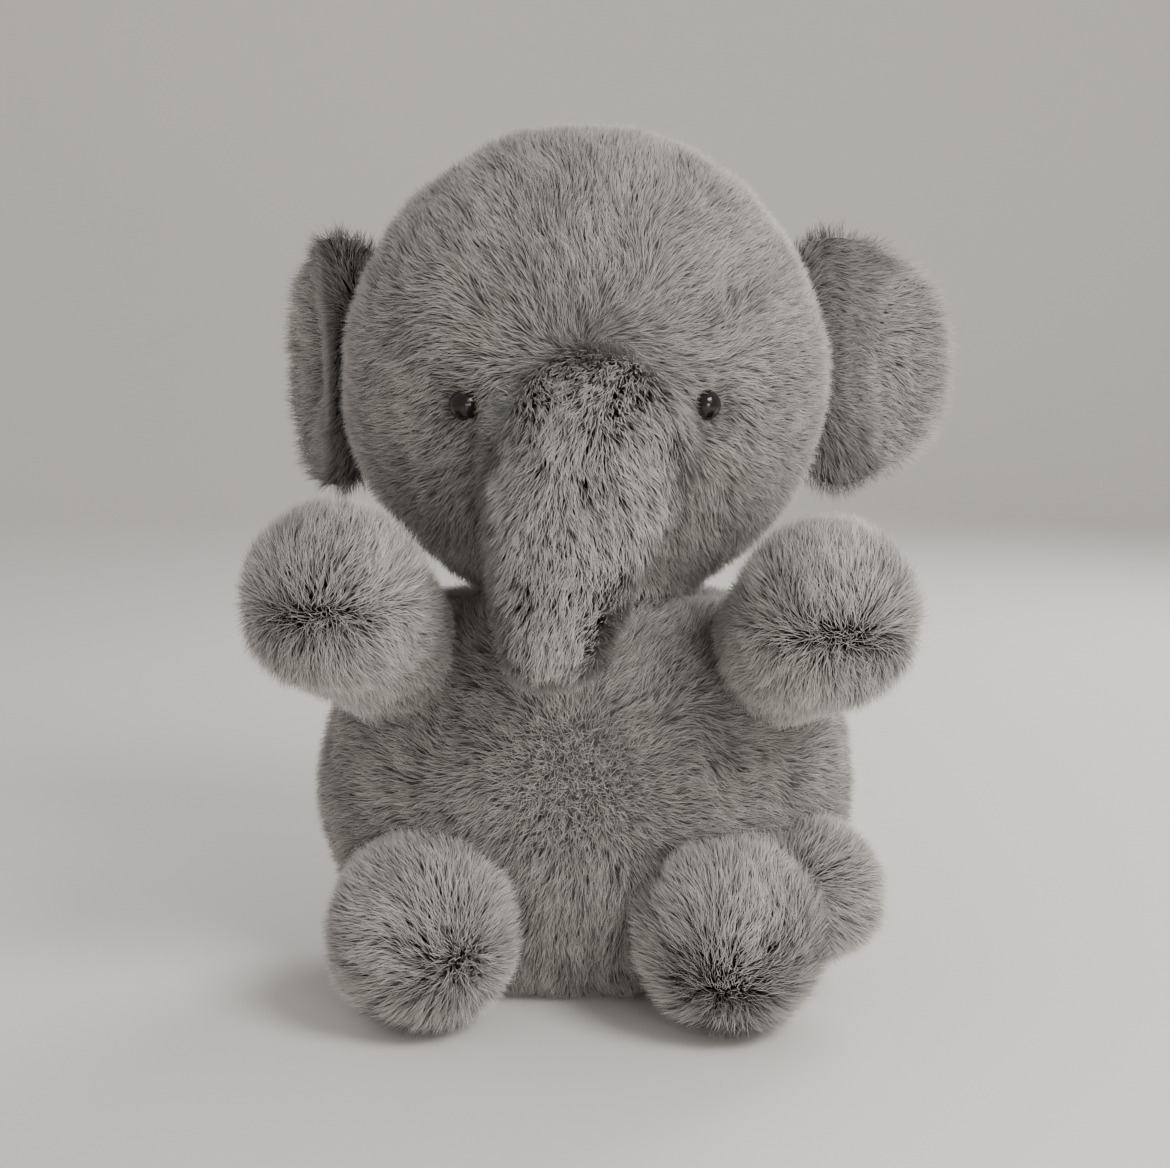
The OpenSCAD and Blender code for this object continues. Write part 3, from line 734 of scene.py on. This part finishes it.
def ear_shape(side, face):
    """Surface of one face of an ear: across runs root to rim, along runs bottom to top."""
    sign = -1 if side == "left" else 1
    root = joint_at(side + "_ear_flap")
    sweep = math.radians(ear_sweeps[side])

    def shape(u, v, k):
        reach, rise = u, np.sin(np.radians(v))
        half_h = ear_h / 2 * (0.78 + 0.22 * np.sin(np.radians(np.minimum(90, 225 * reach))))
        half_h = half_h * np.sqrt(np.maximum(1e-4, 1 - (np.maximum(0, reach - 0.18) / 0.83) ** 2.1)) - k
        puff = np.sqrt(np.maximum(0, 1 - np.abs(rise) ** 3)) * np.sqrt(np.maximum(0, 1 - reach ** 6))
        puff = puff * np.sqrt(np.maximum(0, 1 - np.maximum(0, 1 - reach / 0.1) ** 2))
        height = root[2] + half_h * rise - head_centre[2]
        tall = np.where(height < 0, head_drop, head_axes[2])
        cheek = 1 - (root[1] / head_axes[1]) ** 2 - (height / tall) ** 2
        tuck = abs(root[0]) - head_axes[0] * np.sqrt(np.maximum(cheek, 0.3)) + ear_tuck
        x = -tuck + reach * (ear_w + tuck - k)
        fold = np.exp(-(((x / ear_w - ear_fold_at) / ear_fold_w) ** 2))
        fold = 1 - ear_fold_depth * (face > 0) * fold
        half_t = np.maximum(0.0004, (ear_root_r - k) * puff * fold)
        y = -face * half_t + ear_cup * np.sin(np.pi * np.clip(reach, 0, 1)) * np.cos(np.radians(v))
        out, tucked = np.maximum(x, 0), np.minimum(x, 0)
        return root + np.stack([sign * (out * math.cos(sweep) - y * math.sin(sweep) + tucked),
                                out * math.sin(sweep) + y * math.cos(sweep),
                                half_h * rise], axis=-1)
    return shape


for side in ("left", "right"):
    sign = -1 if side == "left" else 1
    root = joint_at(side + "_ear_flap")
    sweep = math.radians(ear_sweeps[side])
    outward = np.array([sign * math.cos(sweep), math.sin(sweep), 0.0])

    def ear_reach(p, root=root, outward=outward):
        out = ((p - root) @ outward) / ear_w
        up = (p[:, 2] - root[2]) / (ear_h / 2)
        return np.sqrt(np.maximum(out, 0) ** 2 + up ** 2)

    def ear_flow(p, root=root, outward=outward):
        return unit((p - root) * [1, 1, 0.8] + outward * 0.02 + np.array([0, 0, -0.010]))

    def ear_length(p, reach=ear_reach):
        return 0.0070 + 0.0032 * ease(reach(p), 0.2, 0.6) + 0.0030 * ease(reach(p), 0.7, 1.0)

    # Painted shade: the inner part of the ear's front, next to the head, is darkened, and the rest is lifted a
    # little.
    def ear_painted_shade(p, root=root, outward=outward):
        return -0.50 * (1 - ease(((p - root) @ outward) / ear_w, 0.14, 0.50)) + 0.08

    for face, label in ((1, "front"), (-1, "back")):
        cloth = panel_grid(ear_shape(side, face), np.linspace(0.0, 0.99, 28), np.linspace(-88, 88, 40),
                           k=ear_cloth_depth)
        nodes = [f"{side}_ear_{label}_panel"] + ([side + "_ear_wadding"] if face > 0 else [])
        sew(f"{side}_ear_{label}_pile", nodes, side + "_ear", grey_plush, [cloth],
            ear_flow, ear_length, even(50), shade=ear_painted_shade if face > 0 else None)

# %% [markdown]
# The body is a plump egg cut flat where it sits, in four panels with seams down the front, the
# back and both sides. On the belly the pile stands highest at one whorl and fans from there;
# on the back it simply falls. At the top the cloth turns in to the neck.

# %% Body
side_lon = 72
shoulder_turn, neck_opening_r, lowest_cloth = 14, 0.0395, 0.0012
seat_lat = -math.degrees(math.asin(body_centre[2] / body_axes[2]))
neck_lat = math.degrees(math.asin((neck_centre[2] - 0.002 - body_centre[2]) / body_axes[2]))
belly_whorl = np.array([-0.004, body_centre[1] - body_axes[1], body_centre[2] + 0.010])


def body_shape(u, v, k):
    """The egg up to the neck opening, then a shoulder that turns in to the neck."""
    turn = np.clip((v - neck_lat) / shoulder_turn, 0, 1)[..., None]
    edge = egg(body_centre, body_axes, body_axes[2], u, np.minimum(v, neck_lat), k)
    inner = neck_centre + np.stack([neck_opening_r * np.sin(np.radians(u)),
                                    -neck_opening_r * np.cos(np.radians(u)),
                                    np.full(u.shape, -0.003)], axis=-1)
    point = edge * (1 - turn) + inner * turn
    point[..., 2] = np.maximum(point[..., 2], lowest_cloth)
    return point


def body_flow(p):
    fan = unit(p - belly_whorl)
    back = ease(p[:, 1], -0.015, 0.03)[:, None]
    near = np.exp(-((np.linalg.norm(p - belly_whorl, axis=1) / 0.032) ** 2))[:, None]
    fan = fan * (1 - 0.75 * near) + every_way(p) * 0.9 * near
    return fan * (1 - back) + np.array([0.0, 0.0, -1.0]) * back + np.array([0.0, 0.0, -0.2])


def body_lean(p):
    near = np.linalg.norm((p - belly_whorl) * [1, 0.6, 1], axis=1)
    return 41 + 11 * ease(near, 0.0, 0.062)


body_neighbours = ["left_arm", "right_arm", "left_leg", "right_leg", "right_thigh", "tail"]
for label, start, stop in (("body_front_left", -side_lon, 0), ("body_front_right", 0, side_lon),
                           ("body_back_left", -180, -side_lon), ("body_back_right", side_lon, 180)):
    cloth = panel_grid(body_shape, stepped(start, stop), stepped(seat_lat, neck_lat + shoulder_turn))
    sew(label + "_pile", label + "_panel", "torso", grey_plush, [cloth], body_flow,
        even(0.0096), body_lean, hidden_in=body_neighbours)


# %% Seat and neck
seat_share, neck_band_r = 0.565, 0.0385


def seat_shape(about, reach):
    """A flat disc whose edge turns up a little; reach runs from its middle to its edge."""
    height = 0.0016 + 0.004 * ease(reach, 0.85, 1.0)
    return np.stack([(body_axes[0] * seat_share) * reach * np.sin(np.radians(about)),
                     body_centre[1] - (body_axes[1] * seat_share) * reach * np.cos(np.radians(about)),
                     height], axis=-1)


seat_points = seat_shape(*np.meshgrid(np.linspace(0, 360, 61), np.linspace(0.02, 1, 14)))
seat_normals = np.broadcast_to(np.array([0.0, 0.0, -1.0]), seat_points.shape)
sew("seat_pile", "seat_panel", "torso", grey_plush, [(seat_points, seat_normals)],
    away((0.0, 0.0, 0.01)), even(0.004), even(80), hidden_in=["left_leg", "right_leg"], density=0.4)


def neck_shape(u, v, k):
    """The band of the neck ball that shows between the head and the body."""
    lon, lat = np.radians(u), np.radians(v)
    r = neck_band_r - k
    return neck_centre + np.stack([r * np.cos(lat) * np.sin(lon), -r * np.cos(lat) * np.cos(lon),
                                   r * np.sin(lat)], axis=-1)


neck_cloth = panel_grid(neck_shape, np.linspace(0, 360, 73), np.linspace(-24, 34, 16), k=0.0)
sew("neck_pile", "neck_wadding", "neck", grey_plush, [neck_cloth],
    away(neck_centre + [0, 0, 0.06]), even(0.0085), even(35))

# %% [markdown]
# Arms, legs and tail are stubs with round ends. Arms and legs have an upper and a lower panel
# each, and the tail a left and a right one. A tuck is stitched across each paw, below the end,
# so the pile parts along it: up and out above the crease, down below it. On the feet the
# brushing left one swirl, low on the sole.

# %% Arms, legs and tail
limb_pile = 0.0104
half_turns = {"upper": (0, 180), "lower": (180, 360)}
tuck_dip, tuck_reach = 0.0026, 0.007
swirl_from_end = {"left": [0.020, -0.026, -0.006], "right": [-0.002, -0.026, -0.018]}


def limb_cloth(limb, start, stop, k=pile_h):
    length = np.linalg.norm(limb.end - limb.root)
    lines = np.concatenate([np.linspace(-88, -4, 14), np.linspace(0, 1, max(4, int(length / 0.0025))),
                            np.linspace(5, 90, 26)])
    return panel_grid(limb.at, stepped(start, stop, 5), lines, k)


def whorl_lean(source, low, high, reach):
    def lean(p):
        return low + (high - low) * ease(np.linalg.norm(p - source, axis=1), 0.0, reach)
    return lean


def footed(limb, source):
    """Flow away from the swirl, turning outwards all round where the foot meets the floor."""
    def flow(p):
        spread = unit((p - limb.end) * [1, 1, 0])
        low = (1 - ease(p[:, 2], 0.006, 0.022))[:, None]
        return away(source)(p) * (1 - low) + spread * low
    return flow


crease_turn = math.radians(38)


def crease_way(limb):
    """The way from a paw's middle to the middle of its crease, below the end."""
    return math.cos(crease_turn) * limb.way - math.sin(crease_turn) * limb.rise


def creased(limb, half):
    """One panel of a limb with a tuck stitched across its end, below the seam."""
    points, normals = limb_cloth(limb, *half_turns[half])
    past = ((points - limb.end) @ crease_way(limb)) / limb.end_r
    off = (points - limb.end) @ np.cross(limb.side, crease_way(limb))
    pull = ease(past, 0.1, 0.8) * np.exp(-((off / tuck_reach) ** 2))
    return points - normals * (tuck_dip * pull)[..., None], normals


def parted(limb):
    """Flow up and out above the crease of a paw, and down below it."""
    across = np.cross(limb.side, crease_way(limb))

    def flow(p):
        reach = p - (limb.end + limb.end_r * crease_way(limb))
        off = reach @ across
        fan = 0.5 * reach - 0.25 * (reach @ limb.side)[:, None] * limb.side
        near = np.exp(-((off / 0.0055) ** 2))[:, None]
        return unit(fan + 0.014 * np.tanh(off / 0.004)[:, None] * across + 0.016 * near * every_way(p))
    return flow


def crease_off(limb):
    """How far a point is from a paw's crease, and whether it is on the end at all."""
    across = np.cross(limb.side, crease_way(limb))

    def measure(p):
        q = p - limb.end
        return np.abs(q @ across), ease(q @ crease_way(limb), 0.010, 0.026)
    return measure


def crease_lean(limb):
    def lean(p):
        off, on = crease_off(limb)(p)
        return 54 - 6 * (1 - ease(off, 0.0, 0.009)) * on
    return lean


# Painted shade: the pile is darkened along the crease of each paw.
def crease_painted_shade(limb):
    def shade(p):
        off, on = crease_off(limb)(p)
        return -0.08 * np.exp(-((off / 0.005) ** 2)) * on
    return shade


for side in ("left", "right"):
    arm, leg = limbs[side + "_arm"], limbs[side + "_leg"]
    for half in half_turns:
        nodes = [f"{side}_arm_{half}_panel"] + ([side + "_arm_wadding"] if half == "upper" else [])
        sew(f"{side}_arm_{half}_pile", nodes, side + "_arm", pale_plush,
            [creased(arm, half)], parted(arm), even(limb_pile), crease_lean(arm),
            hidden_in=["body", "head"], shade=crease_painted_shade(arm), tuft=0.2)
    swirl = leg.end + swirl_from_end[side]
    touching = ["body"] + (["right_thigh"] if side == "right" else [])
    for half, (start, stop) in half_turns.items():
        sew(f"{side}_leg_{half}_pile", f"{side}_leg_{half}_panel", side + "_leg",
            pale_plush, [limb_cloth(leg, start, stop)], footed(leg, swirl), even(limb_pile),
            whorl_lean(swirl, 47, 54, 0.03), hidden_in=touching)

thigh = limbs["right_thigh"]
for half, (start, stop) in half_turns.items():
    sew(f"right_thigh_{half}_pile", f"right_thigh_{half}_panel", "right_leg", pale_plush,
        [limb_cloth(thigh, start, stop)], away((0.070, -0.070, 0.055)), even(limb_pile), even(52),
        hidden_in=["body", "right_leg"])
for half, start, stop in (("left", 90, 270), ("right", -90, 90)):
    nodes = [f"tail_{half}_panel"] + (["tail_wadding"] if half == "left" else [])
    sew(f"tail_{half}_pile", nodes, "tail", grey_plush,
        [limb_cloth(limbs["tail"], start, stop, 0.0028)], away(tail_root + [0, -0.01, 0.02]),
        even(0.008), even(42), hidden_in=["body"])
print("fibres in all:", sum(count for _, count in made))


# %% [markdown]
# The eyes are glossy moulded domes, so they need only a dark body under a clear coat. The
# hidden pieces get their own finishes as well: crimped fibre for the wadding, a plain weave for
# the pellet bag, milky beads, moulded washers and twisted thread.

# %% Finishes of the fittings and fillings
def material_of(name, colour, roughness):
    material = bpy.data.materials.new(name)
    material.use_nodes = True
    shader = material.node_tree.nodes["Principled BSDF"]
    shader.inputs["Roughness"].default_value = roughness
    shader.inputs["Base Color"].default_value = (*colour, 1.0)
    return material, material.node_tree, shader


def mottle(tree, shader, dark, light, scale, bump=0.0, kind="ShaderNodeTexNoise"):
    """Uneven colour and relief from one object-space texture."""
    place = add_node(tree, "ShaderNodeTexCoord")
    texture = add_node(tree, kind)
    texture.inputs["Scale"].default_value = scale
    ramp = add_node(tree, "ShaderNodeValToRGB")
    ramp.color_ramp.elements[0].color = (*dark, 1.0)
    ramp.color_ramp.elements[1].color = (*light, 1.0)
    out = texture.outputs["Fac"] if "Fac" in texture.outputs else texture.outputs["Distance"]
    tree.links.new(place.outputs["Object"], texture.inputs["Vector"])
    tree.links.new(out, ramp.inputs["Fac"])
    tree.links.new(ramp.outputs["Color"], shader.inputs["Base Color"])
    if bump:
        relief = add_node(tree, "ShaderNodeBump")
        relief.inputs["Strength"].default_value = bump
        relief.inputs["Distance"].default_value = 0.001
        tree.links.new(out, relief.inputs["Height"])
        tree.links.new(relief.outputs["Normal"], shader.inputs["Normal"])


eye_black, tree, shader = material_of("eye_black", (0.006, 0.005, 0.005), 0.16)
shader.inputs["Specular IOR Level"].default_value = 0.3
shader.inputs["Coat Weight"].default_value = 0.25
shader.inputs["Coat Roughness"].default_value = 0.04
mottle(tree, shader, (0.004, 0.0035, 0.003), (0.012, 0.009, 0.008), 220)
wadding_white, tree, shader = material_of("wadding_white", (0.86, 0.85, 0.81), 0.95)
mottle(tree, shader, (0.70, 0.69, 0.64), (0.92, 0.91, 0.88), 420, 0.8)
bag_cotton, tree, shader = material_of("bag_cotton", (0.8, 0.76, 0.68), 0.9)
mottle(tree, shader, (0.62, 0.58, 0.50), (0.86, 0.82, 0.74), 900, 0.5)
bead_milky, tree, shader = material_of("bead_milky", (0.75, 0.8, 0.86), 0.35)
mottle(tree, shader, (0.45, 0.50, 0.56), (0.85, 0.89, 0.93), 500, 0.9, "ShaderNodeTexVoronoi")
washer_white, tree, shader = material_of("washer_white", (0.85, 0.85, 0.83), 0.4)
mottle(tree, shader, (0.80, 0.80, 0.77), (0.88, 0.88, 0.86), 150)
thread_grey, tree, shader = material_of("thread_grey", (0.2, 0.19, 0.18), 0.8)
mottle(tree, shader, (0.10, 0.095, 0.09), (0.28, 0.27, 0.26), 2500, 0.6)
finish_of_slot = {"eye_black": eye_black, "wadding": wadding_white, "bag_cloth": bag_cotton,
                  "pellets": bead_milky, "washer_white": washer_white, "thread": thread_grey,
                  "pile_grey": grey_plush, "pile_light": pale_plush}
for row in frame["record"]["subparts"]:
    mesh = frame["nodes"][row["node"]].data
    mesh.materials.clear()
    mesh.materials.append(finish_of_slot[row["material_slot"]])
for side in ("left", "right"):
    frame["nodes"][side + "_eye"].data.shade_smooth()
print("finishes:", ", ".join(finish_of_slot))

# %% [markdown]
# Plush needs light that wraps round it, or the fibres turn to noise. A broad lamp above and to
# one side does most of the work and gives the folds their depth, a low one in front lifts the
# paws and soles, one behind draws a pale rim, and a pale surround fills the shadows.

# %% Floor, surround and lamps
sweep_at, sweep_r, half_floor = 1.7, 0.8, 5.0
floor_front, wall_top = -4.0, 3.5
profile = [(floor_front, 0.0)] + [(sweep_at + sweep_r * math.sin(math.radians(a)),
                            sweep_r - sweep_r * math.cos(math.radians(a))) for a in range(0, 91, 6)]
profile.append((sweep_at + sweep_r, wall_top))
floor_mesh = bpy.data.meshes.new("floor")
floor_mesh.from_pydata([(x, y, z) for y, z in profile for x in (-half_floor, half_floor)], [],
                       [(2 * i, 2 * i + 1, 2 * i + 3, 2 * i + 2) for i in range(len(profile) - 1)])
floor_mesh.shade_smooth()
floor = bpy.data.objects.new("floor", floor_mesh)
bpy.context.collection.objects.link(floor)
floor_mesh.materials.append(material_of("floor_pale", (0.84, 0.82, 0.79), 0.8)[0])

world = bpy.data.worlds.new("surround")
bpy.context.scene.world = world
world.use_nodes = True
world.node_tree.nodes["Background"].inputs["Color"].default_value = (0.86, 0.84, 0.82, 1.0)
world.node_tree.nodes["Background"].inputs["Strength"].default_value = 0.60


def lamp(name, spot, aim, size, watts, colour=(1.0, 1.0, 1.0)):
    data = bpy.data.lights.new(name, "AREA")
    data.shape, data.size, data.energy, data.color = "DISK", size, watts, colour
    lamp_object = bpy.data.objects.new(name, data)
    bpy.context.collection.objects.link(lamp_object)
    lamp_object.location = spot
    way = Vector(aim) - Vector(spot)
    lamp_object.rotation_euler = way.to_track_quat("-Z", "Y").to_euler()


toy_middle = (0.0, 0.0, 0.16)
lamp("key", (0.75, -0.85, 1.0), toy_middle, 0.6, 15, (1.0, 0.985, 0.96))
lamp("low_front", (0.5, -1.3, 0.3), toy_middle, 0.5, 5, (1.0, 0.99, 0.97))
lamp("rim", (0.7, 0.9, 0.9), toy_middle, 0.7, 9)
print("lamps and floor in place")
